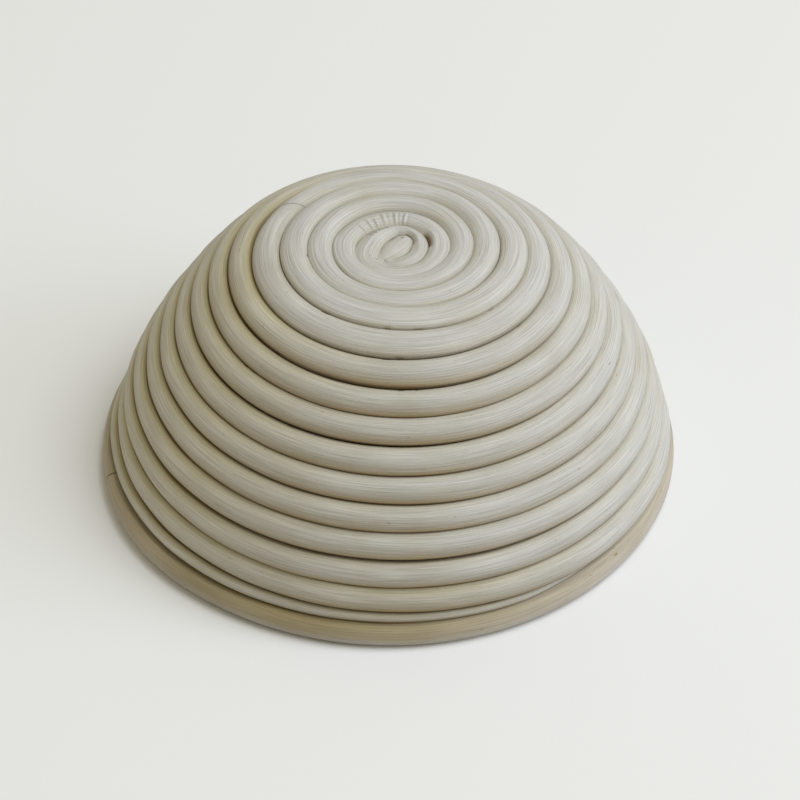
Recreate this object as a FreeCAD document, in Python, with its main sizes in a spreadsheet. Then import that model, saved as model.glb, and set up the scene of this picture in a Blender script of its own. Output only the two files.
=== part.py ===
import FreeCAD, Part
import Sketcher
import math
import os

# Round proofing basket (banneton) of coiled rattan core, millimetres, +Z up.
# It stands upside down on its rim: the mouth faces down and the base is on top.
# The origin is the centre of the rim's resting face.

NODE_FOLDER = "parts"

# Each row is an alias in the sheet, its value and what it means.
SIZES = [
    ("ring_radius", 85.9, "centre circle of the rim ring"),
    ("ring_cane", 8.5, "diameter of the cane that the rim ring is bent from"),
    ("ring_flat_depth", 0.35, "how much is sanded off the ring's underside"),
    ("ring_joint_angle", 187.0, "where the two ends of the ring meet, degrees about Z from +X"),
    ("ring_joint_gap", 0.12, "gap between those ends, degrees"),
    ("seat_gap", 0.15, "clearance between the ring and the coil's shaved tail"),
    ("pitch_centre", 6.2, "distance between neighbouring turns at the middle of the base"),
    ("pitch_wall", 8.52, "distance between neighbouring turns from the shoulder outwards"),
    ("pitch_wall_turn", 5.0, "turn at which the full pitch is reached"),
    ("coil_gap", 0.35, "clearance between neighbouring turns"),
    ("coil_radius_start", 2.2, "radius of the coil's line at turn 0"),
    ("base_height", 81.1, "height of the cane's centre on the flat base"),
    ("flat_turns", 3.45, "turns in the flat base"),
    ("shoulder_turns", 7.35, "turn at which the shoulder's arc ends"),
    ("shoulder_slope", 48.0, "slope of the side there, degrees below level"),
    ("wall_turns", 12.6, "turn at which the gently curved wall ends"),
    ("wall_slope", 66.5, "slope of the side there"),
    ("lip_turns", 13.4, "turn from which the side is straight down to the rim"),
    ("lip_slope", 75.5, "slope of the straight part"),
    ("lean_x", 1.0, "how far the base's centre stands to +X of the last turn's"),
    ("lean_y", 2.5, "how far it stands to +Y of the last turn's"),
    ("rim_shift_x", 1.33, "how far the last turn's centre stands to +X of the ring's"),
    ("coil_start_turn", 0.42, "turn at which the coil leaves the tongue"),
    ("thin_end", 0.62, "thickness of the cane there, as a share of its full diameter"),
    ("full_turn", 1.35, "turn from which the cane has its full diameter"),
    ("first_scarf_turn", 5.16, "joint between the inner and the middle length of cane"),
    ("second_scarf_turn", 11.0, "joint between the middle and the outer length"),
    ("scarf_angle", 62.0, "angle between a scarf cut and a square cut, degrees"),
    ("scarf_gap", 0.15, "clearance between the faces of a scarf"),
    ("tail_point_turn", 15.5, "turn from which the pared tail runs out to a point"),
    ("tail_end_turn", 15.64, "turn at which the tail ends"),
    ("tail_tip", 0.8, "diameter of the tail's tip"),
    ("tongue_length", 7.6, "length of the folded-in starting end at the centre"),
    ("tongue_width", 6.2, "its diameter at its middle"),
    ("tongue_angle", 43.0, "its direction, degrees about Z from +X"),
    ("brad_diameter", 1.2, "wire brads that pin each turn to the one before"),
    ("brad_clearance", 0.05, "radial clearance of a brad in its hole"),
    ("brad_sink", 0.4, "depth of a brad's end below the cane's surface"),
    ("brad_bite", 0.55, "share of the neighbouring turn that a brad goes into"),
    ("brad_spacing", 71.0, "distance between brads along the cane"),
    ("ring_brad_length", 13.0, "brads that hold the rim ring"),
    ("ring_brad_count", 12, "how many there are"),
    ("scarf_brad_length", 7.0, "brads through the scarfs"),
]

TURN_ANGLE = 360.0          # degrees in one turn
FRONT = -90.0               # direction in which the turns are counted
SECTIONS_PER_TURN = 20      # sections of a swept cane in one turn
STRETCHES_PER_TURN = 2      # surfaces that a turn of cane is divided into
CLEAR_OF_EDGE = 3.0         # least distance of a brad from a stretch's edge or a crossing brad
LAST_COIL_BRAD = 14.0       # beyond this turn the ring's brads hold the coil
PROFILE_STEP = 0.01         # step, in turns, of the profile's integration
LAST_TURN = 17.0

doc = FreeCAD.newDocument("banneton")
sheet = doc.addObject("Spreadsheet::Sheet", "Sizes")
for row, (alias, value, meaning) in enumerate(SIZES, start=1):
    sheet.set("A%d" % row, alias)
    sheet.set("B%d" % row, str(value))
    sheet.set("C%d" % row, meaning)
    sheet.setAlias("B%d" % row, alias)
doc.recompute()


def size(alias):
    return float(sheet.get(alias))


def ramp(turn, start, end):
    """0 before start, 1 after end, straight between."""
    return min(max((turn - start) / (end - start), 0.0), 1.0)


# ---- the coil's line -------------------------------------------------------

def slope(turn):
    """Slope of the basket's side at a turn, degrees below level."""
    knots = [
        (0.0, 0.0),
        (size("flat_turns"), 0.0),
        (size("shoulder_turns"), size("shoulder_slope")),
        (size("wall_turns"), size("wall_slope")),
        (size("lip_turns"), size("lip_slope")),
        (LAST_TURN, size("lip_slope")),
    ]
    for (turn_a, slope_a), (turn_b, slope_b) in zip(knots, knots[1:]):
        if turn <= turn_b:
            return slope_a + (slope_b - slope_a) * ramp(turn, turn_a, turn_b)
    return knots[-1][1]


def pitch(turn):
    """Distance between neighbouring turns, measured along the side."""
    centre = size("pitch_centre")
    return centre + (size("pitch_wall") - centre) * ramp(turn, 1.0, size("pitch_wall_turn"))


def make_profile():
    """Radius and height of the coil's line at every PROFILE_STEP of a turn."""
    radius = size("coil_radius_start")
    height = size("base_height")
    points = [(radius, height)]
    for step in range(int(LAST_TURN / PROFILE_STEP)):
        turn = (step + 0.5) * PROFILE_STEP
        fall = math.radians(slope(turn))
        length = pitch(turn) * PROFILE_STEP
        radius += length * math.cos(fall)
        height -= length * math.sin(fall)
        points.append((radius, height))
    return points


PROFILE = make_profile()


def profile_point(turn):
    place = turn / PROFILE_STEP
    index = min(int(place), len(PROFILE) - 2)
    share = place - index
    (radius_a, height_a), (radius_b, height_b) = PROFILE[index:index + 2]
    return radius_a + (radius_b - radius_a) * share, height_a + (height_b - height_a) * share


def full_diameter(turn):
    return pitch(turn) - size("coil_gap")


def ring_top():
    return size("ring_cane") - size("ring_flat_depth")


def tail_room(turn):
    """What the rim ring leaves of the space below the turn before."""
    room = profile_point(turn - 0.5)[1] - ring_top() - size("seat_gap")
    room = room / math.sin(math.radians(slope(turn))) - size("coil_gap") / 2
    run_out = ramp(turn, size("tail_point_turn"), size("tail_end_turn"))
    return room + (size("tail_tip") - room) * run_out


def cane_diameter(turn):
    """The cane is thinned where it starts and pared where it lies on the ring."""
    diameter = full_diameter(turn)
    if turn < size("full_turn"):
        thin = size("thin_end")
        return diameter * (thin + (1.0 - thin) * ramp(turn, size("coil_start_turn"), size("full_turn")))
    if turn > size("wall_turns"):
        return min(diameter, tail_room(turn))
    return diameter


def turn_angle(turn):
    return math.radians(FRONT + TURN_ANGLE * (turn - 0.5))


def coil_centre(turn):
    """The turns lean: the base's centre is not quite over the rim's."""
    lean = 1.0 - ramp(turn, 2.0, size("tail_end_turn"))
    return size("rim_shift_x") + size("lean_x") * lean, size("lean_y") * lean


def side_directions(turn):
    """Unit vectors down the side and out of it, at a turn."""
    angle = turn_angle(turn)
    fall = math.radians(slope(turn))
    outward = FreeCAD.Vector(math.cos(angle), math.sin(angle), 0)
    up = FreeCAD.Vector(0, 0, 1)
    down_side = outward * math.cos(fall) - up * math.sin(fall)
    normal = outward * math.sin(fall) + up * math.cos(fall)
    return down_side, normal


def coil_point(turn):
    """Centre of the cane. A thinned end keeps to the turn that it is pinned to."""
    radius, height = profile_point(turn)
    angle = turn_angle(turn)
    shift_x, shift_y = coil_centre(turn)
    down_side = side_directions(turn)[0]
    spare = (full_diameter(turn) - cane_diameter(turn)) / 2
    hug = spare if turn < size("full_turn") else -spare
    point = FreeCAD.Vector(radius * math.cos(angle) + shift_x,
                           radius * math.sin(angle) + shift_y, height)
    return point + down_side * hug


def coil_direction(turn):
    step = 0.002
    direction = coil_point(turn + step) - coil_point(turn - step)
    return direction.normalize()


# ---- solids of the cane ----------------------------------------------------

def circle_wire(centre, normal, diameter):
    return Part.Wire([Part.Circle(centre, normal, diameter / 2).toShape()])


def align(direction):
    """Rotation that turns +Z to a direction."""
    return FreeCAD.Rotation(FreeCAD.Vector(0, 0, 1), direction)


def swept_cane(turn_a, turn_b):
    """Cane along the coil's line between two turns, with square ends."""
    count = max(4, int(round((turn_b - turn_a) * SECTIONS_PER_TURN)))
    wires = []
    for index in range(count + 1):
        turn = turn_a + (turn_b - turn_a) * index / count
        wires.append(circle_wire(coil_point(turn), coil_direction(turn), cane_diameter(turn)))
    return Part.makeLoft(wires, True, False)


def scarf_frame(turn):
    """Point and unit normal of the slanted cut of a joint in the cane."""
    along = coil_direction(turn)
    across = along.cross(side_directions(turn)[0]).normalize()
    angle = math.radians(size("scarf_angle"))
    return coil_point(turn), along * math.cos(angle) + across * math.sin(angle)


def scarf_reach(turn):
    """Half the length of a scarf along the cane, in turns."""
    reach = 0.6 * full_diameter(turn) * math.tan(math.radians(size("scarf_angle")))
    return reach / (2 * math.pi * profile_point(turn)[0])


def scarf_end(turn, side):
    """Short end of cane with a slanted face. side is -1 before the joint and 1 after it."""
    reach = scarf_reach(turn)
    blank = swept_cane(turn - reach, turn + reach)
    point, cut_normal = scarf_frame(turn)
    block = 60.0
    face = point + cut_normal * (side * size("scarf_gap") / 2)
    tool = Part.makeBox(block, block, block, FreeCAD.Vector(-block / 2, -block / 2, 0))
    tool.Placement = FreeCAD.Placement(face, align(cut_normal * -side))
    return blank.cut(tool)


def stretch_edges(turn_a, turn_b):
    """Turns at which the surface of a length of cane is divided."""
    edges = [turn_a]
    step = 1.0 / STRETCHES_PER_TURN
    mark = math.ceil(turn_a / step + 0.3) * step
    while mark < turn_b - 0.3 * step:
        edges.append(mark)
        mark += step
    return edges + [turn_b]


def drilled(piece, drills):
    """The piece with the holes of those drills that reach it."""
    reaching = [drill for drill in drills if drill.BoundBox.intersect(piece.BoundBox)]
    return piece.cut(reaching) if reaching else piece


def cane_length(turn_a, turn_b, scarf_a, scarf_b, drills):
    """One length of cane, with a scarf at either end where it is joined on."""
    start = turn_a + (scarf_reach(turn_a) if scarf_a else 0.0)
    end = turn_b - (scarf_reach(turn_b) if scarf_b else 0.0)
    edges = stretch_edges(start, end)
    pieces = [swept_cane(edge_a, edge_b) for edge_a, edge_b in zip(edges, edges[1:])]
    if scarf_a:
        pieces.append(scarf_end(turn_a, 1))
    else:
        pieces.append(tongue())
    if scarf_b:
        pieces.append(scarf_end(turn_b, -1))
    pieces = [drilled(piece, drills) for piece in pieces]
    return pieces[0].fuse(pieces[1:]).Solids[0]


def tongue():
    """The cane's starting end, folded back into the eye of the coil."""
    start = coil_point(size("coil_start_turn"))
    start_diameter = cane_diameter(size("coil_start_turn"))
    angle = math.radians(size("tongue_angle"))
    along = FreeCAD.Vector(math.cos(angle), math.sin(angle), 0)
    length = size("tongue_length")
    wires = []
    steps = 8
    for index in range(steps + 1):
        share = index / steps
        swell = math.sin(math.pi * share)
        diameter = start_diameter + (size("tongue_width") - start_diameter) * swell
        wires.append(circle_wire(start + along * (length * share), along, diameter))
    shaft = Part.makeLoft(wires, True, False)
    fold = Part.makeSphere(start_diameter / 2, start)
    return shaft.fuse(fold)


# ---- brads -----------------------------------------------------------------

def brad_pair(name, point, direction, length):
    """A brad that starts at point and goes along direction, and the shape of its hole."""
    brad = doc.addObject("Part::Cylinder", name)
    brad.setExpression("Radius", "Sizes.brad_diameter / 2")
    brad.Height = length
    brad.Placement = FreeCAD.Placement(point, align(direction))
    clearance = size("brad_clearance")
    lead = size("brad_sink") + 1.0
    drill = Part.makeCylinder(size("brad_diameter") / 2 + clearance, lead + length + clearance)
    drill.Placement = FreeCAD.Placement(point - direction * lead, align(direction))
    return brad, drill


def coil_brad(name, turn):
    """Brad from the outer side of a turn through it into the turn before."""
    inner = coil_point(turn - 1)
    outer = coil_point(turn)
    direction = (inner - outer).normalize()
    start = outer - direction * (cane_diameter(turn) / 2 - size("brad_sink"))
    depth = (inner - outer).Length + cane_diameter(turn) / 2 - size("brad_sink")
    length = depth - (0.5 - size("brad_bite")) * cane_diameter(turn - 1)
    return brad_pair(name, start, direction, length)


def brad_turns(edges):
    """Turns at which brads stand, evenly spaced and clear of edges and of each other."""
    turns = []
    turn = 1.62
    travelled = size("brad_spacing")
    while turn < LAST_COIL_BRAD:
        round_length = 2 * math.pi * profile_point(turn)[0]
        near = [mark for mark in edges + turns
                if min(abs(turn - mark), abs(turn - mark - 1)) * round_length < CLEAR_OF_EDGE]
        if not near and travelled >= min(size("brad_spacing"), round_length * 0.39):
            turns.append(turn)
            travelled = 0.0
        turn += PROFILE_STEP
        travelled += round_length * PROFILE_STEP
    return turns


BRAD_GROUPS = [
    ("centre_brads", 0.0, 2.6),
    ("base_brads", 2.6, 5.0),
    ("shoulder_brads", 5.0, 8.0),
    ("upper_wall_brads", 8.0, 11.0),
    ("lower_wall_brads", 11.0, LAST_TURN),
]


def add_ring_body():
    """The rim ring's blank: a cane bent round once, sanded flat underneath."""
    ring_radius = size("ring_radius")
    ring_cane = size("ring_cane")
    ring = doc.addObject("PartDesign::Body", "ring_body")
    plane = [item for item in ring.Origin.OriginFeatures if item.Role == "XZ_Plane"][0]
    sketch = ring.newObject("Sketcher::SketchObject", "ring_section")
    sketch.AttachmentSupport = [(plane, "")]
    sketch.MapMode = "FlatFace"
    rise = ring_cane / 2 - size("ring_flat_depth")
    half_flat = math.sqrt((ring_cane / 2) ** 2 - rise ** 2)
    flat_angle = math.atan2(-rise, half_flat)
    arc = Part.ArcOfCircle(
        Part.Circle(FreeCAD.Vector(ring_radius, rise, 0), FreeCAD.Vector(0, 0, 1), ring_cane / 2),
        flat_angle, math.pi - flat_angle)
    sketch.addGeometry(arc, False)
    sketch.addGeometry(Part.LineSegment(arc.EndPoint, arc.StartPoint), False)
    sketch.addConstraint(Sketcher.Constraint("Coincident", 0, 2, 1, 1))
    sketch.addConstraint(Sketcher.Constraint("Coincident", 1, 2, 0, 1))
    sketch.addConstraint(Sketcher.Constraint("Horizontal", 1))
    sketch.addConstraint(Sketcher.Constraint("PointOnObject", 1, 1, -1))
    sized = [
        (Sketcher.Constraint("Radius", 0, ring_cane / 2), "Sizes.ring_cane / 2"),
        (Sketcher.Constraint("DistanceX", -1, 1, 0, 3, ring_radius), "Sizes.ring_radius"),
        (Sketcher.Constraint("DistanceY", -1, 1, 0, 3, rise),
         "Sizes.ring_cane / 2 - Sizes.ring_flat_depth"),
    ]
    for constraint, expression in sized:
        index = sketch.addConstraint(constraint)
        sketch.setExpression("Constraints[%d]" % index, expression)
    turned = ring.newObject("PartDesign::Revolution", "ring_turned")
    turned.Profile = sketch
    turned.ReferenceAxis = (sketch, ["V_Axis"])
    turned.setExpression("Angle", "360 - Sizes.ring_joint_gap")
    ring.Placement = FreeCAD.Placement(
        FreeCAD.Vector(), FreeCAD.Rotation(FreeCAD.Vector(0, 0, 1), size("ring_joint_angle")))
    return ring


def ring_brads():
    """Brads from under the rim ring up into the coil's last full turn."""
    pairs = []
    ring_cane = size("ring_cane")
    count = int(size("ring_brad_count"))
    for number in range(count):
        angle = size("ring_joint_angle") + (number + 0.5) * TURN_ANGLE / count
        turn = ((angle - FRONT) / TURN_ANGLE + 0.5) % 1.0 + 14.0
        while profile_point(turn + 1)[1] > ring_top() + 2.4:
            turn += 1
        outward = FreeCAD.Vector(math.cos(math.radians(angle)), math.sin(math.radians(angle)), 0)
        middle = outward * size("ring_radius")
        middle.z = ring_cane / 2 - size("ring_flat_depth")
        direction = (coil_point(turn) - middle).normalize()
        foot = middle - direction * (ring_cane / 2 - 1.0)
        pairs.append(brad_pair("ring_brad_%d" % number, foot, direction, size("ring_brad_length")))
    return pairs


def main():
    scarf_1 = size("first_scarf_turn")
    scarf_2 = size("second_scarf_turn")
    start = size("coil_start_turn")
    tail_end = size("tail_end_turn")
    spans = [
        ("cane_inner", start, scarf_1, False, True),
        ("cane_middle", scarf_1, scarf_2, True, True),
        ("cane_outer", scarf_2, tail_end, True, False),
    ]

    # No brad may stand on the edge of a stretch or in a scarf.
    edges = []
    for name, turn_a, turn_b, scarf_a, scarf_b in spans:
        reach_a = scarf_reach(turn_a) if scarf_a else 0.0
        reach_b = scarf_reach(turn_b) if scarf_b else 0.0
        edges += stretch_edges(turn_a + reach_a, turn_b - reach_b)
    edges += [scarf_1, scarf_2]

    groups = {}
    drills = []
    for number, turn in enumerate(brad_turns(edges)):
        brad, drill = coil_brad("brad_%d" % number, turn)
        drills.append(drill)
        for name, low, high in BRAD_GROUPS:
            if low <= turn < high:
                groups.setdefault(name, []).append(brad)

    for number, turn in enumerate((scarf_1, scarf_2)):
        normal = side_directions(turn)[1]
        point = coil_point(turn) + normal * (cane_diameter(turn) / 2 - size("brad_sink"))
        brad, drill = brad_pair("scarf_brad_%d" % number, point, normal * -1, size("scarf_brad_length"))
        groups.setdefault("scarf_brads", []).append(brad)
        drills.append(drill)

    for brad, drill in ring_brads():
        groups.setdefault("ring_brads", []).append(brad)
        drills.append(drill)

    nodes = []
    for name, turn_a, turn_b, scarf_a, scarf_b in spans:
        cane = doc.addObject("Part::Feature", name)
        cane.Shape = cane_length(turn_a, turn_b, scarf_a, scarf_b, drills)
        nodes.append(cane)
        print(name, "made", flush=True)

    ring_body = add_ring_body()
    ring_drills = doc.addObject("Part::Feature", "ring_drills")
    ring_drills.Shape = Part.makeCompound(drills[-int(size("ring_brad_count")):])
    ring = doc.addObject("Part::Cut", "rim_ring")
    ring.Base = ring_body
    ring.Tool = ring_drills
    nodes.append(ring)
    for name, brads in groups.items():
        group = doc.addObject("Part::Compound", name)
        group.Links = brads
        nodes.append(group)
    doc.recompute()
    check(nodes)
    export(nodes)


def check(nodes):
    for item in doc.Objects:
        bad = [state for state in item.State if state in ("Invalid", "Error")]
        if bad:
            raise RuntimeError("%s did not build: %s" % (item.Label, bad))
    for node in nodes:
        shape = node.Shape
        if shape.isNull() or not shape.isValid():
            raise RuntimeError("%s has no valid shape" % node.Label)


def export(nodes):
    os.makedirs(NODE_FOLDER, exist_ok=True)
    for node in nodes:
        shape = node.Shape
        box = shape.BoundBox
        print("%-18s solids %3d  volume %9.1f  x %.2f %.2f  y %.2f %.2f  z %.2f %.2f" % (
            node.Label, len(shape.Solids), shape.Volume,
            box.XMin, box.XMax, box.YMin, box.YMax, box.ZMin, box.ZMax))
        shape.exportStep(os.path.join(NODE_FOLDER, node.Label + ".step"))


main()
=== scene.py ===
import math

import bpy
import numpy as np
from mathutils import Matrix, Vector


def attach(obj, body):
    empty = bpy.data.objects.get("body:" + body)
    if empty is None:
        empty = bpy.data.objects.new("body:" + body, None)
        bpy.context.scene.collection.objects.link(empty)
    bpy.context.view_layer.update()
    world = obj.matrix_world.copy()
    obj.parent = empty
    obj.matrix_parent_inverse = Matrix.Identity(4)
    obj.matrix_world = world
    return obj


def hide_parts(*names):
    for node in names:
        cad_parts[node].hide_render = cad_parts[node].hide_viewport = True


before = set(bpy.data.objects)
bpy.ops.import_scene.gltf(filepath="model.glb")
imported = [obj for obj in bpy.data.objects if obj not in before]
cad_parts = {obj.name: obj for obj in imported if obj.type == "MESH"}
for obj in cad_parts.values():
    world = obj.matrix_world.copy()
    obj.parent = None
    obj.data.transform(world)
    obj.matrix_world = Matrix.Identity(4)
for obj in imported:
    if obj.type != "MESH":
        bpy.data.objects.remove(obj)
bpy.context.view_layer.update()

MM = 0.001
FULL_TURN = 2 * math.pi

# ---- the coil's line, with the sizes of the CAD model (millimetres) --------
# The ring's joint and the tail's end stand where the photo shows them, a little off the CAD's.

RING_RADIUS = 85.9
RING_CANE = 8.5
RING_FLAT = 0.35
RING_TOP = RING_CANE - RING_FLAT
RING_JOINT = math.radians(192.5)
RING_JOINT_GAP = 0.5
PITCH_CENTRE = 6.2
PITCH_WALL = 8.52
RADIUS_START = 2.2
BASE_HEIGHT = 81.1
START_SHARE = 0.62
START_GROWTH = (0.42, 1.35)
# Turn and slope of the side in degrees.
SLOPES = [(0.0, 0.0), (3.45, 0.0), (7.35, 48.0), (12.6, 66.5), (13.4, 75.5), (17.0, 75.5)]
LEAN = (1.0, 2.5)
RIM_SHIFT = 1.33
TAIL_END = 15.66
TAIL_POINT = 15.58
TAIL_SWELL = 0.5
TAIL_SWELL_TURNS = (15.0, 15.35)
LAST_TURN_SWELL = 1.0
LAST_TURN_SWELL_TURNS = (14.55, 14.66)
TAIL_TIP = 0.5
# From this turn on the rim ring limits the cane's thickness.
RING_LIMITS_FROM = 12.6
# How far the pared end of the cane stands out over the rim ring: turn and mm.
TAIL_OUT = [(14.8, 0.0), (15.05, 1.2), (15.18, 2.4), (15.36, 2.3), (15.48, 1.1), (15.66, 0.7)]
FIRST_SCARF = 5.16
SECOND_SCARF = 11.0
SCARF_GAP = 0.15
SCARF_RADIUS = 50.0
STEP = 0.01

# Where the hand-made coil strays from the even spiral: angle and turn of the middle
# of the place, half widths in degrees and turns, then mm out of and down the side.
STRAYS = [
    (-105, 4.8, 40, 0.8, 0.0, -0.5),
    (0, 10.5, 45, 4.5, 0.4, -1.1),
    (180, 9.5, 50, 4.5, -0.2, -1.1),
    (160, 6.6, 22, 1.2, 0.9, 0.0),
    (62, 5.6, 40, 1.3, -0.8, 0.0),
    (-20, 14.2, 32, 2.2, 0.0, -0.9),
]

turn_grid = np.arange(0.0, 17.0 + STEP / 2, STEP)
slope_grid = np.radians(np.interp(turn_grid, *zip(*SLOPES)))
pitch_grid = np.interp(turn_grid, [1.0, 5.0], [PITCH_CENTRE, PITCH_WALL])


def running_sum(values):
    steps = (values[1:] + values[:-1]) / 2 * STEP
    return np.concatenate([[0.0], np.cumsum(steps)])


radius_grid = RADIUS_START + running_sum(pitch_grid * np.cos(slope_grid))
height_grid = BASE_HEIGHT - running_sum(pitch_grid * np.sin(slope_grid))


def ramp(value, start, end):
    return np.clip((value - start) / (end - start), 0.0, 1.0)


def smooth(value, start, end):
    share = ramp(value, start, end)
    return share * share * (3 - 2 * share)


def slope(turn):
    return np.interp(turn, turn_grid, slope_grid)


def pitch(turn):
    return np.interp(turn, turn_grid, pitch_grid)


def waves(seed, count, low, high):
    """A smooth, repeatable wobble of about unit size: a sum of sines of one variable."""
    rng = np.random.default_rng(seed)
    rates = rng.uniform(low, high, count)
    phases = rng.uniform(0, FULL_TURN, count)
    return lambda x: sum(np.sin(rate * x + phase) for rate, phase in zip(rates, phases)) / math.sqrt(count / 2)


side_wobble = waves(11, 5, 0.4, 2.6)
out_wobble = waves(12, 5, 0.4, 2.6)
SIDE_WOBBLE_SIZE = 0.10
OUT_WOBBLE_SIZE = 0.16


def directions(turn):
    """Unit vectors outwards, down the side and out of the side."""
    angle = FULL_TURN * (turn - 0.75)
    fall = slope(turn)
    zero = np.zeros_like(angle)
    outward = np.stack([np.cos(angle), np.sin(angle), zero], -1)
    up = np.stack([zero, zero, zero + 1], -1)
    down = outward * np.cos(fall)[:, None] - up * np.sin(fall)[:, None]
    normal = outward * np.sin(fall)[:, None] + up * np.cos(fall)[:, None]
    return outward, down, normal


def tail_room(turn):
    """Thickness that the rim ring leaves for the last turn, down to its tip."""
    room = np.interp(turn - 0.5, turn_grid, height_grid) - RING_TOP
    room = room / np.maximum(np.sin(slope(turn)), 0.5)
    room = room + TAIL_SWELL * smooth(turn, *TAIL_SWELL_TURNS)
    return room + (TAIL_TIP - room) * ramp(turn, TAIL_POINT, TAIL_END)


def cane_diameter(turn):
    start = START_SHARE + (1 - START_SHARE) * ramp(turn, *START_GROWTH)
    full = pitch(turn) * start + LAST_TURN_SWELL * smooth(turn, *LAST_TURN_SWELL_TURNS)
    return np.where(turn > RING_LIMITS_FROM, np.minimum(full, tail_room(turn)), full)


def strays(turn):
    """Distance out of the side and down it by which the coil strays, in mm."""
    degrees = np.degrees(FULL_TURN * (turn - 0.75))
    out = OUT_WOBBLE_SIZE * out_wobble(turn * FULL_TURN)
    down = SIDE_WOBBLE_SIZE * side_wobble(turn * FULL_TURN)
    for angle, middle, reach, turns, outwards, downwards in STRAYS:
        turned = (degrees - angle + 180) % 360 - 180
        share = np.exp(-(turned / reach) ** 2 - ((turn - middle) / turns) ** 2)
        out = out + outwards * share
        down = down + downwards * share
    return out, down


def coil_line(turn, straying=1.0):
    """Centre of the cane at each turn value, in millimetres."""
    outward, down, normal = directions(turn)
    radius = np.interp(turn, turn_grid, radius_grid)
    height = np.interp(turn, turn_grid, height_grid)
    lean = 1 - ramp(turn, 2.0, TAIL_END)
    shift = np.stack([RIM_SHIFT + LEAN[0] * lean, LEAN[1] * lean, 0 * lean], -1)
    spare = (pitch(turn) - cane_diameter(turn)) / 2
    hug = np.where(turn < START_GROWTH[1], spare, -spare)
    point = outward * radius[:, None] + shift
    point[:, 2] = height
    bulge, slip = strays(turn)
    slip = slip + 0.2 * TAIL_SWELL * smooth(turn, *TAIL_SWELL_TURNS)
    return point + down * (hug + slip * straying)[:, None] + normal * (bulge * straying)[:, None]


def cane_width(turn):
    """Width along the side: it fills the room that its neighbours leave."""
    room = np.linalg.norm(coil_line(turn + 1) - coil_line(turn - 1), axis=-1)
    even = np.linalg.norm(coil_line(turn + 1, 0.0) - coil_line(turn - 1, 0.0), axis=-1)
    change = (room - even) / 2 * smooth(turn, 2.0, 3.0) * (1 - smooth(turn, 12.5, 13.5))
    return cane_diameter(turn) + change


# ---- the folded-in start of the cane, about the middle of the base ---------

COIL_CENTRE = (RIM_SHIFT + LEAN[0], LEAN[1])
# x and y from the coil's centre, width, thickness, height above the base's centre line, turn.
FOLD = [
    (2.9, 5.2, 2.4, 3.4, 0.1, 0.04), (2.6, 4.3, 5.2, 4.6, 0.1, 0.06), (1.9, 3.05, 6.6, 5.2, 0.1, 0.09),
    (1.2, 1.6, 7.5, 5.6, 0.1, 0.12), (0.05, -0.05, 8.1, 5.8, 0.1, 0.17), (-1.05, -1.75, 7.8, 5.8, 0.1, 0.21),
    (-2.2, -3.2, 6.9, 5.6, 0.1, 0.25), (-3.5, -4.5, 5.6, 5.2, 0.0, 0.29), (-4.9, -5.7, 4.6, 4.6, -0.2, 0.33),
    (-5.0, -7.2, 3.9, 4.4, -0.4, 0.37), (-3.5, -8.1, 3.9, 4.4, -0.4, 0.41),
]
# Turn, distance from the coil's centre, width.
FIRST_TURNS = [
    (0.467, 8.2, 4.2), (0.522, 7.9, 4.9), (0.606, 7.4, 5.2), (0.683, 7.0, 5.2), (0.775, 6.95, 5.2),
    (0.846, 7.6, 4.9), (0.902, 8.2, 4.5), (0.956, 8.7, 4.5), (1.017, 8.5, 4.6), (1.117, 7.4, 6.2),
    (1.186, 7.6, 7.2), (1.261, 8.6, 7.5), (1.314, 10.3, 7.4), (1.363, 12.1, 6.9), (1.435, 13.0, 6.6),
    (1.479, 13.2, 6.2), (1.542, 13.2, 6.0), (1.607, 13.5, 6.3), (1.662, 13.2, 6.7), (1.715, 13.2, 6.8),
    (1.761, 13.1, 6.8), (1.811, 13.3, 6.8), (1.864, 13.7, 6.9), (1.915, 14.1, 6.8), (1.967, 14.4, 6.6),
    (2.018, 14.4, 6.8), (2.082, 14.6, 7.2), (2.142, 15.0, 7.4), (2.211, 15.8, 7.4), (2.262, 16.4, 7.2),
    (2.325, 17.0, 6.8),
]
SPIRAL_FROM = 2.4
# Crimps pressed across the cane near the centre: turn, place across, reach across, mm along.
CRIMPS = [
    (1.972, -0.35, 0.5, 0.9), (2.008, -0.3, 0.55, 0.9), (2.050, -0.2, 0.6, 1.0), (2.083, -0.5, 0.4, 0.9),
    (2.110, -0.4, 0.5, 1.0), (2.146, -0.5, 0.4, 0.9), (1.045, 0.6, 0.3, 0.8), (1.075, 0.5, 0.4, 0.8),
    (1.130, 0.6, 0.4, 0.8), (1.160, 0.6, 0.3, 0.9),
]


def through(knots, per_gap):
    """A smooth line through rows of numbers, with the share of the way at each place."""
    knots = np.asarray(knots, float)
    before = np.vstack([2 * knots[0] - knots[1], knots, 2 * knots[-1] - knots[-2]])
    share = np.arange(per_gap) / per_gap
    square, cube = share ** 2, share ** 3
    weights = np.stack([
        -share + 2 * square - cube,
        2 - 5 * square + 3 * cube,
        share + 4 * square - 3 * cube,
        cube - square], -1) / 2
    parts = [weights @ before[i:i + 4] for i in range(len(knots) - 1)]
    return np.vstack(parts + [knots[-1:]])


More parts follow.
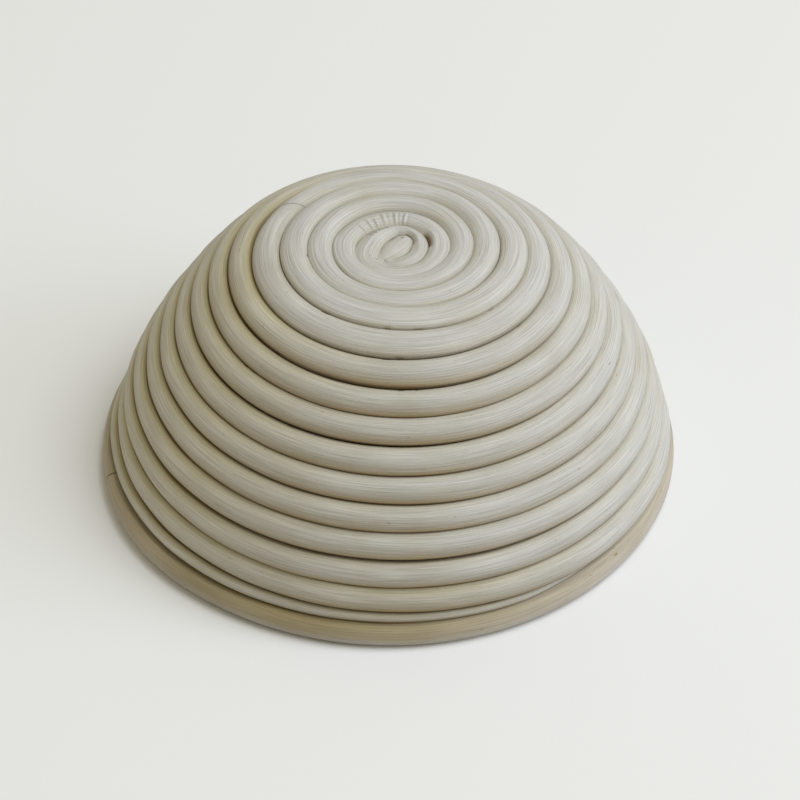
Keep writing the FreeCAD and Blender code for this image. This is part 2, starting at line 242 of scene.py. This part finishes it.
def centre_line():
    """Line, width and thickness of the cane from its folded-in end to the even spiral."""
    rows = [(x + COIL_CENTRE[0], y + COIL_CENTRE[1], BASE_HEIGHT + lift, wide, thick, turn)
            for x, y, wide, thick, lift, turn in FOLD]
    for turn, radius, wide in FIRST_TURNS:
        angle = FULL_TURN * (turn - 0.75)
        lift = -0.3 * (1 - ramp(turn, 0.5, 1.1))
        rows.append((COIL_CENTRE[0] + radius * math.cos(angle), COIL_CENTRE[1] + radius * math.sin(angle),
                     BASE_HEIGHT + lift, wide, min(wide * 1.15, PITCH_CENTRE), turn))
    spiral = np.arange(SPIRAL_FROM, SPIRAL_FROM + 0.25, 0.07)
    for turn, point, wide in zip(spiral, coil_line(spiral), cane_diameter(spiral)):
        rows.append((*point, wide, wide, turn))
    fine = through(rows, 16)
    return fine[fine[:, 5] < SPIRAL_FROM]


# ---- meshes ----------------------------------------------------------------

PER_TURN = 400
HALF_FACE = np.array([0.08, 0.23, 0.38, 0.52, 0.65, 0.76, 0.85, 0.915, 0.96, 0.985, 0.997, 1.0])
HALF_BACK = np.cos(np.linspace(0, math.pi, 18))[1:-1]
# Place of each section point across the cane, from -1 towards the centre to +1 towards
# the rim: first the outer face, then the face inside the bowl.
ACROSS = np.concatenate([-HALF_FACE[::-1], HALF_FACE, HALF_BACK])
IS_FACE = np.arange(len(ACROSS)) < 2 * len(HALF_FACE)
AROUND = len(ACROSS)
# Powers of the superellipses: corners of the outer face, inner face, ring's bottom and top.
FACE_CORNER = 10.0
BACK_ROUND = 2.3
RING_FULLNESS = (2.1, 3.4)
# Depth of the outer face's dome in mm.
DOME_BASE_FRONT = 1.3
DOME_BASE_BACK = 2.3
DOME_WALL = 2.4
DOME_WALL_LEFT = 1.7
# Length of cane in mm over which a slanted end face's lean dies away.
LEAN_REACH = 12.0
# Share of the pitch that a cane's width fills: pressed further into its neighbours where the olive and tan tints
# (dirt and painted shade) are weak.
PRESSED_UNTINTED = 1.07
PRESSED_TINTED = 1.025


def unit(vectors):
    return vectors / np.linalg.norm(vectors, axis=-1, keepdims=True)


def cross_frame(line, normal):
    """Unit vectors along the cane, out of the side and down it."""
    tangent = unit(np.gradient(line, axis=0))
    normal = unit(normal - tangent * np.sum(normal * tangent, -1, keepdims=True))
    return tangent, normal, np.cross(tangent, normal)


def tube_mesh(name, line, frame_vectors, high, wide, slant=(0.0, 0.0)):
    """A cane's mesh. high and wide hold each point's distance from the line, out of the
    side and down it, at place i and section angle j. slant leans the two end faces."""
    tangent, normal, across = frame_vectors
    count = len(line)
    step = np.linalg.norm(np.diff(line, axis=0), axis=-1)
    run = np.concatenate([[0.0], np.cumsum(step)])
    near_start = np.clip(1 - run / LEAN_REACH, 0, 1)[:, None] * slant[0]
    near_end = np.clip(1 - (run[-1] - run) / LEAN_REACH, 0, 1)[:, None] * slant[1]
    along = wide * (near_start + near_end)
    verts = (line[:, None, :] + normal[:, None, :] * high[..., None]
             + across[:, None, :] * wide[..., None] + tangent[:, None, :] * along[..., None])
    verts = np.concatenate([verts.reshape(-1, 3), line[[0, -1]]]) * MM
    i, j = np.meshgrid(np.arange(count - 1), np.arange(AROUND), indexing="ij")
    k = (j + 1) % AROUND
    quads = np.stack([i * AROUND + j, i * AROUND + k, (i + 1) * AROUND + k, (i + 1) * AROUND + j], -1)
    girth = float(np.median(np.hypot(high, wide))) * FULL_TURN / AROUND
    grain = np.stack([
        np.stack([run[i], run[i], run[i + 1], run[i + 1]], -1),
        np.stack([j, j + 1, j + 1, j], -1) * girth], -1)
    faces = quads.reshape(-1, 4).tolist()
    ends = []
    for centre, first, turned in ((count * AROUND, 0, 1), (count * AROUND + 1, (count - 1) * AROUND, -1)):
        for number in range(AROUND):
            pair = [first + number, first + (number + 1) % AROUND]
            faces.append([centre] + pair[::-turned])
            ends += [(0.0, 0.0), (1.0, number * girth), (1.0, number * girth)]
    mesh = bpy.data.meshes.new(name)
    mesh.from_pydata(verts.tolist(), [], faces)
    layer = mesh.uv_layers.new(name="grain")
    flat = np.concatenate([grain.reshape(-1, 2), np.array(ends)]) * MM
    layer.data.foreach_set("uv", flat.astype(np.float32).reshape(-1))
    smooth_faces = [True] * (len(faces) - 2 * AROUND) + [False] * (2 * AROUND)
    mesh.polygons.foreach_set("use_smooth", smooth_faces)
    mesh.update()
    piece = bpy.data.objects.new(name, mesh)
    bpy.context.collection.objects.link(piece)
    return piece


def set_attribute(piece, name, values, rest=0.0):
    layer = piece.data.attributes.new(name, "FLOAT", "POINT")
    full = np.full(len(piece.data.vertices), rest, np.float32)
    full[:values.size] = values.reshape(-1)
    layer.data.foreach_set("value", full)


def ridges(run, seed):
    """Soft lengthwise ridges and slow swellings of the outer face, in mm."""
    rng = np.random.default_rng(seed)
    height = np.zeros((len(run), AROUND))
    for number in range(9):
        rate = rng.uniform(6, 24)
        drift = waves(seed * 50 + number, 4, 0.02, 0.08)
        strength = 0.016 * (1 + 0.6 * waves(seed * 70 + number, 3, 0.03, 0.2)(run))
        height += strength[:, None] * np.sin(rate * ACROSS[None, :] + 1.3 * drift(run)[:, None])
    height += 0.05 * waves(seed + 5, 5, 0.05, 0.25)(run)[:, None]
    return height * IS_FACE[None, :]


def cane_section(turn, run, thick, wide, seed):
    """The cane's section at each place: a low dome with soft corners outside, round inside."""
    reach = np.abs(ACROSS)
    corner = (1 - reach ** FACE_CORNER) ** (1 / FACE_CORNER)
    back = -(1 - reach ** BACK_ROUND) ** (1 / BACK_ROUND)
    high = thick[:, None] / 2 * np.where(IS_FACE, corner, back)[None, :]
    at_back = smooth(np.sin(FULL_TURN * (turn - 0.75)), -0.1, 0.7)
    base_depth = DOME_BASE_FRONT + (DOME_BASE_BACK - DOME_BASE_FRONT) * at_back
    wall_depth = DOME_WALL + (DOME_WALL_LEFT - DOME_WALL) * dirt_and_shade(turn)[0]
    depth = base_depth + (wall_depth - base_depth) * smooth(turn, 4.5, 6.5)
    dome = (depth * thick / PITCH_WALL)[:, None] * (reach ** 2 * corner ** 0.5)[None, :]
    high = high - dome * IS_FACE[None, :] + ridges(run, seed)
    return high, wide[:, None] / 2 * ACROSS[None, :]


def ring_section(run, size, up):
    """The rim cane's section: fuller on top, where the last turn lies on it."""
    angle = np.arange(AROUND) / AROUND * FULL_TURN
    cos, sin = np.cos(angle), np.sin(angle)
    power = RING_FULLNESS[0] + (RING_FULLNESS[1] - RING_FULLNESS[0]) * smooth(sin * up, -0.3, 0.5)
    reach = size / 2 * (np.abs(cos) ** power + np.abs(sin) ** power) ** (-1 / power)
    reach = reach[None, :] + 0.02 * waves(41, 5, 0.05, 0.25)(run)[:, None]
    for rate in (5, 8, 13, 17):
        reach = reach + 0.016 * np.sin(rate * angle[None, :] + waves(40 + rate, 4, 0.02, 0.08)(run)[:, None])
    return reach * cos, reach * sin


# How strongly the olive and tan tints show round the basket: angle in degrees, share of the olive tint
# (dirt and painted shade, heaviest on the shaded left) and of the tan tint (painted shade, heaviest at the front).
DIRT_AND_SHADE_AROUND = [(-180, 1.0, 0.0), (-145, 0.95, 0.1), (-112, 0.45, 0.8), (-85, 0.1, 1.0), (-50, 0.1, 0.55),
           (-20, 0.1, 0.15), (0, 0.1, 0.0), (60, 0.15, 0.0), (110, 0.45, 0.0), (160, 0.9, 0.0), (180, 1.0, 0.0)]


def dirt_and_shade(turn):
    """Strength of the olive tint (dirt and painted shade) and of the tan tint (painted shade) at each turn value.
    """
    degrees = (np.degrees(FULL_TURN * (turn - 0.75)) + 180) % 360 - 180
    angles, olive, tan = zip(*DIRT_AND_SHADE_AROUND)
    on_wall = smooth(turn, 5.0, 6.3)
    near_rim = 0.6 * smooth(turn, 13.2, 14.4) * smooth(-degrees, 30, 75)
    olive = np.maximum(np.interp(degrees, angles, olive), near_rim)
    return on_wall * olive, on_wall * np.interp(degrees, angles, tan)


# Torn places on the canes: turn, place across the cane, length in mm, breadth as a share
# of the cane's half width, depth in mm.
CHIPS = [
    (0.085, 0.2, 0.9, 0.12, 0.9), (0.45, -0.92, 1.5, 0.22, 1.0), (1.372, -0.95, 1.8, 0.16, 1.1),
    (0.85, -1.0, 10.0, 0.42, 1.5), (1.80, -1.0, 8.5, 0.34, 1.5), (1.98, -0.98, 10.0, 0.1, 0.3),
    (4.280, -0.97, 1.8, 0.06, 0.8), (5.403, -0.97, 3.0, 0.05, 0.9), (4.490, 0.98, 2.2, 0.05, 0.7),
    (4.530, 0.98, 3.2, 0.04, 0.6), (4.488, -0.97, 1.4, 0.05, 0.5), (6.490, -0.98, 3.0, 0.05, 0.7),
    (5.505, 0.98, 2.6, 0.04, 0.6), (7.505, -0.98, 2.2, 0.06, 0.7), (7.520, -0.97, 1.4, 0.05, 0.6),
    (5.630, -0.97, 2.0, 0.06, 0.6), (6.645, -0.98, 1.6, 0.05, 0.5), (6.383, 0.98, 2.0, 0.05, 0.5),
    (8.359, -0.97, 2.4, 0.07, 0.8), (7.372, 0.97, 2.0, 0.06, 0.7), (3.400, 0.98, 1.6, 0.06, 0.4),
    (9.420, -0.98, 2.2, 0.05, 0.4), (11.480, 0.98, 2.0, 0.05, 0.4), (15.400, 0.8, 3.0, 0.15, 0.4),
    (14.560, 0.95, 4.0, 0.1, 0.5), (14.600, 0.9, 3.0, 0.1, 0.5), (5.155, 0.3, 1.4, 0.12, 0.7),
]


def chips(turn, mm_per_turn):
    """Depth of the dents where a cane's edge is torn, less a raised fibre beside each."""
    depth = np.zeros((len(turn), AROUND))
    for middle, place, length, breadth, deep in CHIPS:
        away = (turn - middle)[:, None] * mm_per_turn[:, None] / (length / 2)
        aside = (ACROSS - place)[None, :] / breadth
        depth += deep * np.exp(-away ** 4 - aside ** 2)
        depth -= 0.3 * deep * np.exp(-(away * 0.8) ** 2 - (aside + math.copysign(1.9, place)) ** 2 * 2)
    return depth * IS_FACE[None, :]


def crimps(turn, mm_per_turn):
    """Height of the little ridges that crimping leaves, with a dip along either side."""
    height = np.zeros((len(turn), AROUND))
    for middle, place, reach, length in CRIMPS:
        away = ((turn - middle) * mm_per_turn / (length / 2))[:, None]
        aside = ((ACROSS - place) / reach)[None, :]
        height += 0.38 * (np.exp(-away ** 2) - 0.75 * np.exp(-(np.abs(away) - 1.9) ** 2)) * np.exp(-aside ** 4)
    return height * IS_FACE[None, :]


def make_cane(name, turn_a, turn_b, seed, slant):
    """One length of cane. The one that starts at SPIRAL_FROM has the folded-in end before it."""
    gap = SCARF_GAP / 2 / (FULL_TURN * SCARF_RADIUS)
    turn_a += gap * (turn_a > SPIRAL_FROM)
    turn_b -= gap * (turn_b < TAIL_END)
    turn = np.linspace(turn_a, turn_b, int((turn_b - turn_a) * PER_TURN))
    line = coil_line(turn)
    wide = cane_width(turn)
    thick = np.minimum(cane_diameter(turn), pitch(turn) * 0.99) + 2 * np.interp(turn, *zip(*TAIL_OUT))
    normal = directions(turn)[2]
    mm_per_turn = FULL_TURN * np.interp(turn, turn_grid, radius_grid)
    if turn_a < SPIRAL_FROM + 0.01:
        start = centre_line()
        line = np.vstack([start[:, :3], line])
        wide = np.concatenate([start[:, 3], wide])
        thick = np.concatenate([start[:, 4], thick])
        normal = np.vstack([np.tile([0.0, 0.0, 1.0], (len(start), 1)), normal])
        turn = np.concatenate([start[:, 5], turn])
        mm_per_turn = np.concatenate([FULL_TURN * np.interp(start[:, 5], [0.4, 2.4], [8.0, 16.5]), mm_per_turn])
    tangent, normal, across = cross_frame(line, normal)
    run = np.concatenate([[0.0], np.cumsum(np.linalg.norm(np.diff(line, axis=0), axis=-1))])
    olive, tan = dirt_and_shade(turn)
    pressed = PRESSED_UNTINTED + (PRESSED_TINTED - PRESSED_UNTINTED) * np.maximum(olive, tan)
    high, side = cane_section(turn, run, thick, wide * pressed, seed)
    shade = np.clip(side / (wide[:, None] / 2), -1, 1)
    torn = chips(turn, mm_per_turn)
    high = high - torn + crimps(turn, mm_per_turn)
    piece = tube_mesh(name + "_visual", line, (tangent, normal, across), high, side, slant)
    set_attribute(piece, "side", shade * 0.5 + 0.5, 0.5)
    set_attribute(piece, "torn", np.clip(torn, 0, 1))
    set_attribute(piece, "olive", olive[:, None] * np.ones((1, AROUND)))
    set_attribute(piece, "tan", tan[:, None] * np.ones((1, AROUND)))
    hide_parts(name)
    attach(piece, "root")
    return piece


# Where the rim ring is out of round: angle in degrees and mm added to its radius.
RING_BENDS = [(-180, -0.3), (-150, 0.2), (-120, -0.6), (-90, -0.35), (-60, -0.5), (-35, -0.6), (-12, 0.1),
              (8, 0.7), (40, 0.2), (90, 0.0), (140, 0.1), (180, -0.3)]
# Where the rim cane reaches up to the last turn: angle in degrees and mm.
RING_RISES = [(-180, 0.0), (-66, 0.0), (-45, 1.3), (-32, 2.2), (0, 1.6), (45, 0.6), (80, 0.0), (180, 0.0)]
# How strongly the rim cane's tints show, its painted shade included: angle in degrees and share.
RING_TINT_STRENGTH = [(-180, 0.45), (-150, 0.65), (-110, 1.0), (-85, 0.85), (-62, 0.5), (-40, 0.2), (0, 0.1), (60, 0.3),
             (180, 0.45)]
RING_SECTIONS = 1600


def make_ring():
    name = "rim_ring"
    half_gap = RING_JOINT_GAP / 2 / RING_RADIUS
    angle = np.linspace(RING_JOINT + half_gap, RING_JOINT + FULL_TURN - half_gap, RING_SECTIONS)
    turned = (np.degrees(angle) + 180) % 360 - 180
    fine = through(RING_BENDS, 8)
    bend = np.interp(turned, fine[:, 0], fine[:, 1])
    rise = RING_CANE / 2 - RING_FLAT
    outward = np.stack([np.cos(angle), np.sin(angle), 0 * angle], -1)
    line = outward * (RING_RADIUS + bend)[:, None]
    line[:, 2] = rise
    tangent, normal, across = cross_frame(line, outward)
    up = across[0, 2]
    high, side = ring_section(angle * RING_RADIUS, RING_CANE, up)
    rises = np.interp(turned, *zip(*RING_RISES))
    lift = side * up
    lift = lift * (1 + np.maximum(lift, 0) / RING_CANE * 2 * rises[:, None] / (RING_CANE / 2))
    lift = np.maximum(lift, -rise)
    piece = tube_mesh(name + "_visual", line, (tangent, normal, across), high, lift * up)
    set_attribute(piece, "side", 0.5 - lift / RING_CANE, 0.5)
    set_attribute(piece, "torn", 0 * lift)
    ring_tint = np.interp(turned, *zip(*RING_TINT_STRENGTH))
    set_attribute(piece, "olive", ring_tint[:, None] * np.ones((1, AROUND)))
    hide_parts(name)
    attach(piece, "root")
    return piece


# ---- materials -------------------------------------------------------------

def rattan(name, light, dark, tint_layers):
    """Peeled cane: lengthwise fibres, patches of discolouring, and dirt and painted shade towards its neighbours.
    Each tint layer has an attribute that gives its strength, and its tints across the cane,
    from the side facing the centre to the one facing the rim."""
    material = bpy.data.materials.new(name)
    material.use_nodes = True
    tree = material.node_tree
    nodes, links = tree.nodes, tree.links
    shader = nodes["Principled BSDF"]
    shader.inputs["Roughness"].default_value = 0.66
    shader.inputs["Specular IOR Level"].default_value = 0.3

    def noise(coordinates, scale, detail, roughness):
        node = nodes.new("ShaderNodeTexNoise")
        node.inputs["Scale"].default_value = scale
        node.inputs["Detail"].default_value = detail
        node.inputs["Roughness"].default_value = roughness
        links.new(coordinates, node.inputs["Vector"])
        return node.outputs["Fac"]

    def stretched(along, around):
        node = nodes.new("ShaderNodeMapping")
        node.inputs["Scale"].default_value = (along, around, 1.0)
        links.new(grain.outputs["UV"], node.inputs["Vector"])
        return node.outputs["Vector"]

    def between(value, low, high, kind="LINEAR"):
        node = nodes.new("ShaderNodeMapRange")
        node.interpolation_type = kind
        node.inputs["From Min"].default_value = low
        node.inputs["From Max"].default_value = high
        links.new(value, node.inputs["Value"])
        return node.outputs["Result"]

    def near_edge(low, high):
        return between(side.outputs["Fac"], low, high, "SMOOTHSTEP")

    def tinted(first, share, tint):
        """first times the tint, a colour or a socket, where share is 1."""
        node = nodes.new("ShaderNodeMix")
        node.data_type = "RGBA"
        node.blend_type = "MULTIPLY"
        links.new(share, node.inputs["Factor"])
        links.new(first, node.inputs["A"])
        if isinstance(tint, tuple):
            node.inputs["B"].default_value = (*tint, 1)
        else:
            links.new(tint, node.inputs["B"])
        return node.outputs["Result"]

    grain = nodes.new("ShaderNodeUVMap")
    grain.uv_map = "grain"
    place = nodes.new("ShaderNodeTexCoord").outputs["Object"]
    fibres = noise(stretched(45.0, 2600.0), 1.0, 5.0, 0.62)
    bands = noise(stretched(16.0, 420.0), 1.0, 3.0, 0.55)
    patches = noise(place, 42.0, 3.0, 0.5)
    flecks = noise(stretched(260.0, 1100.0), 1.0, 2.0, 0.5)

    tone = nodes.new("ShaderNodeValToRGB")
    tone.color_ramp.elements[0].position = 0.36
    tone.color_ramp.elements[0].color = (*dark, 1)
    tone.color_ramp.elements[1].position = 0.63
    tone.color_ramp.elements[1].color = (*light, 1)
    links.new(fibres, tone.inputs["Fac"])

    colour = tinted(tone.outputs["Color"], between(bands, 0.45, 0.8), (0.94, 0.92, 0.88))
    colour = tinted(colour, between(patches, 0.48, 0.72), (0.95, 0.93, 0.88))
    colour = tinted(colour, between(flecks, 0.70, 0.80), (0.62, 0.50, 0.34))

    side = nodes.new("ShaderNodeAttribute")
    side.attribute_name = "side"
    jitter = nodes.new("ShaderNodeMath")
    jitter.operation = "MULTIPLY_ADD"
    links.new(between(bands, 0.2, 0.8), jitter.inputs[0])
    jitter.inputs[1].default_value = 0.05
    links.new(side.outputs["Fac"], jitter.inputs[2])
    # The tint layers: dirt, the cane's own skin and painted shade, each scaled by its attribute.
    for attribute, stops in tint_layers:
        tint_ramp = nodes.new("ShaderNodeValToRGB")
        while len(tint_ramp.color_ramp.elements) < len(stops):
            tint_ramp.color_ramp.elements.new(0.5)
        for element, (position, tint) in zip(tint_ramp.color_ramp.elements, stops):
            element.position = position
            element.color = (*tint, 1)
        links.new(jitter.outputs["Value"], tint_ramp.inputs["Fac"])
        strength = nodes.new("ShaderNodeAttribute")
        strength.attribute_name = attribute
        colour = tinted(colour, strength.outputs["Fac"], tint_ramp.outputs["Color"])
    # A little darker and yellower towards both edges: painted shade in the creases where the canes meet.
    colour = tinted(colour, near_edge(0.24, 0.0), (0.96, 0.94, 0.86))
    colour = tinted(colour, near_edge(0.84, 1.0), (0.95, 0.93, 0.84))

    torn = nodes.new("ShaderNodeAttribute")
    torn.attribute_name = "torn"
    # Darker brown where the dents are deepest: painted shade in the dents and gaps.
    colour = tinted(colour, between(torn.outputs["Fac"], 0.10, 0.8), (0.46, 0.34, 0.20))
    links.new(colour, shader.inputs["Base Color"])

    bump = nodes.new("ShaderNodeBump")
    bump.inputs["Strength"].default_value = 0.8
    bump.inputs["Distance"].default_value = 0.0003
    links.new(fibres, bump.inputs["Height"])
    links.new(bump.outputs["Normal"], shader.inputs["Normal"])
    return material


def brad_metal():
    material = bpy.data.materials.new("brad_wire")
    material.use_nodes = True
    nodes = material.node_tree.nodes
    shader = nodes["Principled BSDF"]
    shader.inputs["Metallic"].default_value = 1.0
    noise = nodes.new("ShaderNodeTexNoise")
    noise.inputs["Scale"].default_value = 900.0
    tone = nodes.new("ShaderNodeValToRGB")
    tone.color_ramp.elements[0].color = (0.16, 0.14, 0.12, 1)
    tone.color_ramp.elements[1].color = (0.42, 0.40, 0.37, 1)
    material.node_tree.links.new(noise.outputs["Fac"], tone.inputs["Fac"])
    material.node_tree.links.new(tone.outputs["Color"], shader.inputs["Base Color"])
    shader.inputs["Roughness"].default_value = 0.5
    return material


# ---- the object ------------------------------------------------------------

# Tints across a cane: place from the side facing the centre (0) to the one facing the rim (1).
# They darken each cane towards its creases: painted shade, with some dirt in the olive tint.
# Olive tint, dirt and painted shade: yellower and darker towards both edges, dark brown where the canes meet.
OLIVE_DIRT_AND_SHADE = [
    (0.00, (0.28, 0.19, 0.08)), (0.03, (0.46, 0.36, 0.18)), (0.065, (0.80, 0.73, 0.50)),
    (0.20, (0.93, 0.87, 0.64)), (0.36, (0.96, 0.93, 0.79)), (0.60, (0.91, 0.88, 0.75)),
    (0.86, (0.78, 0.72, 0.56)), (0.965, (0.66, 0.56, 0.36)), (1.00, (0.28, 0.19, 0.08)),
]
# Tan tint, painted shade: the lower half of each cane greyer and darker, and dark brown lines where the canes meet.
TAN_PAINTED_SHADE = [
    (0.00, (0.34, 0.26, 0.16)), (0.025, (0.80, 0.72, 0.58)), (0.05, (0.98, 0.98, 0.96)), (0.30, (0.92, 0.91, 0.89)),
    (0.58, (0.81, 0.80, 0.76)), (0.80, (0.76, 0.70, 0.58)), (0.95, (0.72, 0.58, 0.38)), (1.00, (0.26, 0.18, 0.08)),
]
# Rim tints: the cane's browner upper skin and greyer lower side, with painted shade where the last turn lies on it
# and along its bottom edge.
RIM_SKIN_AND_SHADE = [
    (0.00, (0.30, 0.23, 0.12)), (0.05, (0.66, 0.60, 0.40)), (0.30, (0.67, 0.60, 0.40)),
    (0.50, (0.71, 0.66, 0.50)), (0.66, (0.74, 0.75, 0.70)), (0.93, (0.70, 0.71, 0.68)), (1.00, (0.42, 0.39, 0.35)),
]
core = rattan("rattan_core_peeled", (0.69, 0.682, 0.682), (0.49, 0.482, 0.475),
              [("olive", OLIVE_DIRT_AND_SHADE), ("tan", TAN_PAINTED_SHADE)])
rim = rattan("rattan_rim_peeled", (0.63, 0.585, 0.545), (0.48, 0.435, 0.39), [("olive", RIM_SKIN_AND_SHADE)])
wire = brad_metal()

for cane_name, first, last, cane_seed, slants in (
        ("cane_inner", SPIRAL_FROM, FIRST_SCARF, 3, (0.0, 0.55)),
        ("cane_middle", FIRST_SCARF, SECOND_SCARF, 4, (0.55, 0.55)),
        ("cane_outer", SECOND_SCARF, TAIL_END, 5, (0.55, 0.0))):
    make_cane(cane_name, first, last, cane_seed, slants).data.materials.append(core)
make_ring().data.materials.append(rim)

for node_name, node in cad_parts.items():
    if node_name.endswith("brads"):
        for material_slot in node.material_slots:
            material_slot.material = wire


# ---- floor, light and camera -----------------------------------------------

def make_floor():
    mesh = bpy.data.meshes.new("floor")
    reach = 6.0
    corners = [(-reach, -reach, 0), (reach, -reach, 0), (reach, reach, 0), (-reach, reach, 0)]
    mesh.from_pydata(corners, [], [(0, 1, 2, 3)])
    floor = bpy.data.objects.new("floor", mesh)
    bpy.context.collection.objects.link(floor)
    material = bpy.data.materials.new("floor_paper")
    material.use_nodes = True
    shader = material.node_tree.nodes["Principled BSDF"]
    shader.inputs["Base Color"].default_value = (0.88, 0.89, 0.92, 1)
    shader.inputs["Roughness"].default_value = 0.9
    shader.inputs["Specular IOR Level"].default_value = 0.0
    mesh.materials.append(material)


def aim(thing, place, target, roll=0.0):
    direction = Vector(target) - Vector(place)
    turned = direction.to_track_quat("-Z", "Y").to_matrix().to_4x4()
    thing.matrix_world = Matrix.Translation(place) @ turned @ Matrix.Rotation(roll, 4, "Z")


def softbox(name, place, size, power, colour):
    """A square light that points at the middle of the basket."""
    data = bpy.data.lights.new(name, "AREA")
    data.size = size
    data.energy = power
    data.color = colour
    lamp = bpy.data.objects.new(name, data)
    bpy.context.collection.objects.link(lamp)
    aim(lamp, place, (0, 0, 0.04))


make_floor()
softbox("key_softbox", (2.52, -0.45, 1.30), 1.8, 26.5, (0.83, 0.91, 1.0))
softbox("top_softbox", (0.96, -0.16, 2.27), 1.6, 33.0, (0.90, 0.95, 1.0))

world = bpy.data.worlds.new("studio")
world.use_nodes = True
world.node_tree.nodes["Background"].inputs["Color"].default_value = (1.0, 0.91, 0.66, 1)
world.node_tree.nodes["Background"].inputs["Strength"].default_value = 0.40

scene = bpy.context.scene
scene.world = world
scene.view_settings.view_transform = "Standard"

# The camera stands 1.5 m away, about 40 degrees above the floor.
ELEVATION = math.radians(39.6)
DISTANCE = 1.5
ROLL = math.radians(0.78)
camera_data = bpy.data.cameras.new("camera")
camera_data.lens = 216.8
camera_data.clip_end = 50
camera = bpy.data.objects.new("camera", camera_data)
bpy.context.collection.objects.link(camera)
aim(camera, (0, -math.cos(ELEVATION) * DISTANCE, math.sin(ELEVATION) * DISTANCE + 0.045),
    (0.0038, -0.0105, 0.0323), ROLL)
scene.camera = camera
